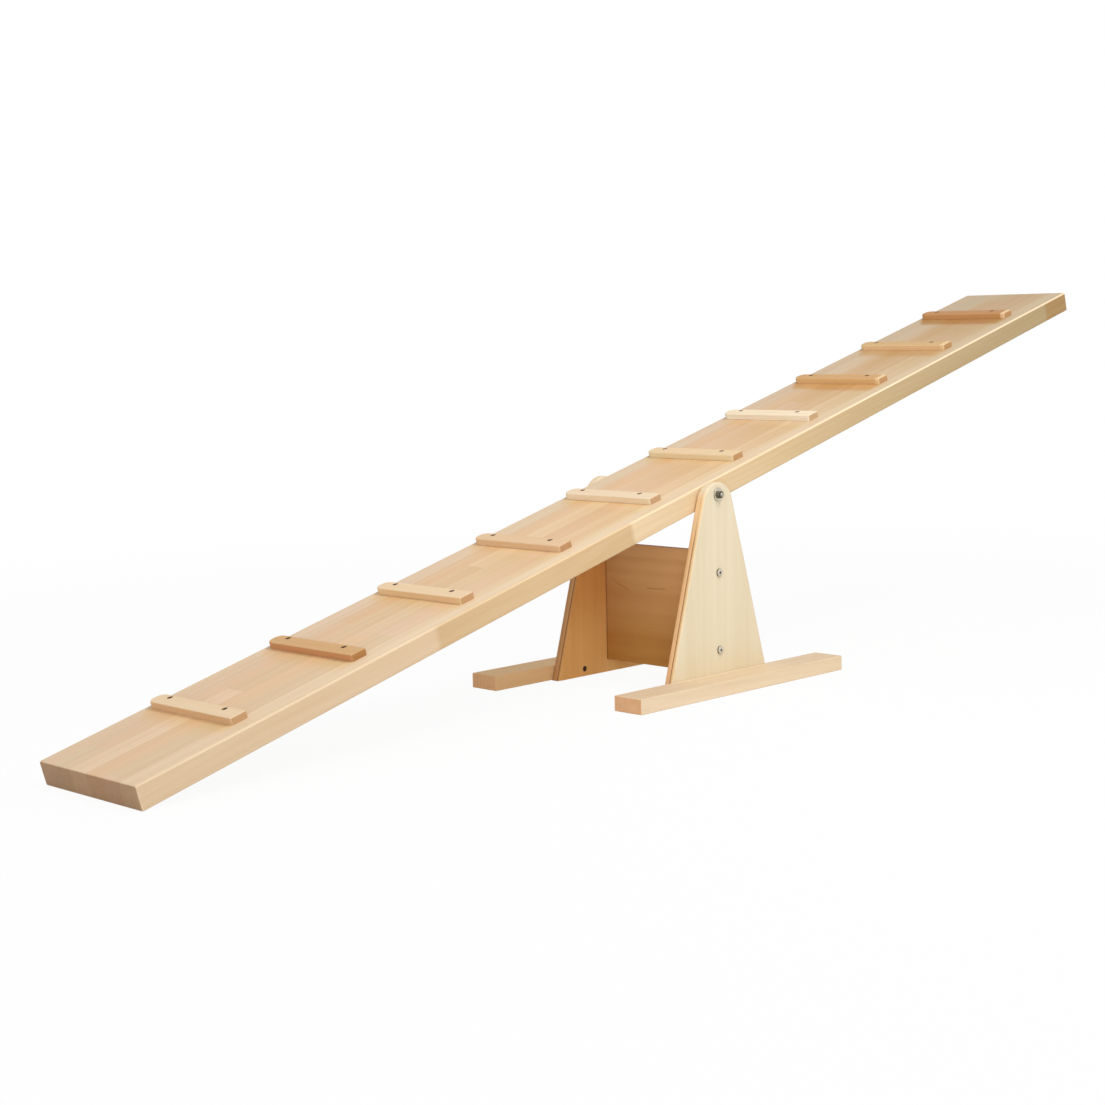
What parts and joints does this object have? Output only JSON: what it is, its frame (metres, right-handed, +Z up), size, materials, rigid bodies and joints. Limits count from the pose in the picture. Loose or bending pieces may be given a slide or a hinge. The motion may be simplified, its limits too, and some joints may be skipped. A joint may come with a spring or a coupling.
{
  "type": "balance rocker",
  "caption": "Low wooden seesaw: a long plank with foot cleats that tips on a steel axle between tapered plywood cheeks on bar feet.",
  "frame": {"origin": "on the floor, under the middle of the axle", "axes": "+X along the plank's plan direction to the raised end, +Y along the axle from the near cheek to the far cheek, +Z up"},
  "size_m": [2.4204, 0.414, 0.6948],
  "materials": {
    "plank_wood": "satin clear lacquer on edge-glued light hardwood",
    "cleat_pale": "satin clear lacquer",
    "cleat_cream": "satin clear lacquer",
    "cleat_honey": "satin clear lacquer",
    "cleat_brown": "satin clear lacquer",
    "cheek_plywood": "clear lacquered plywood with routed edges",
    "panel_plywood": "clear lacquered plywood, grain across",
    "foot_wood": "satin clear lacquer",
    "zinc_steel": "bright zinc plate",
    "dark_steel": "dark passivated",
    "nylon": "moulded, natural"
  },
  "bodies": {
    "stand": {"cross_panel": "panel_plywood", "axle_sleeve": "zinc_steel", "axle_rod": "zinc_steel", "cheek_near": "cheek_plywood", "cheek_far": "cheek_plywood", "foot_near": "foot_wood", "foot_far": "foot_wood", "axle_washer_near": "zinc_steel", "axle_washer_far": "zinc_steel", "axle_nut_near": "zinc_steel", "axle_nut_far": "zinc_steel", "panel_bolt_lower_near": "zinc_steel", "panel_bolt_upper_near": "zinc_steel", "panel_bolt_lower_far": "zinc_steel", "panel_bolt_upper_far": "zinc_steel", "barrel_nut_lower_near": "zinc_steel", "barrel_nut_upper_near": "zinc_steel", "barrel_nut_lower_far": "zinc_steel", "barrel_nut_upper_far": "zinc_steel", "foot_screw_low_end_near": "dark_steel", "foot_screw_high_end_near": "dark_steel", "foot_screw_low_end_far": "dark_steel", "foot_screw_high_end_far": "dark_steel"},
    "rocker": {"plank": "plank_wood", "axle_bush_near": "nylon", "axle_bush_far": "nylon", "cleat_01": "cleat_pale", "cleat_02": "cleat_honey", "cleat_03": "cleat_pale", "cleat_04": "cleat_pale", "cleat_05": "cleat_cream", "cleat_06": "cleat_pale", "cleat_07": "cleat_cream", "cleat_08": "cleat_brown", "cleat_09": "cleat_honey", "cleat_10": "cleat_brown", "cleat_screw_01_near": "dark_steel", "cleat_screw_01_far": "dark_steel", "cleat_screw_02_near": "dark_steel", "cleat_screw_02_far": "dark_steel", "cleat_screw_03_near": "dark_steel", "cleat_screw_03_far": "dark_steel", "cleat_screw_04_near": "dark_steel", "cleat_screw_04_far": "dark_steel", "cleat_screw_05_near": "dark_steel", "cleat_screw_05_far": "dark_steel", "cleat_screw_06_near": "dark_steel", "cleat_screw_06_far": "dark_steel", "cleat_screw_07_near": "dark_steel", "cleat_screw_07_far": "dark_steel", "cleat_screw_08_near": "dark_steel", "cleat_screw_08_far": "dark_steel", "cleat_screw_09_near": "dark_steel", "cleat_screw_09_far": "dark_steel", "cleat_screw_10_near": "dark_steel", "cleat_screw_10_far": "dark_steel"}
  },
  "joints": [
    {"name": "plank_pivot", "type": "hinge", "parent": "stand", "child": "rocker", "pos_m": [0, 0, 0.346], "axis": [0, 1, 0], "range_deg": [0, 30.52]}
  ]
}
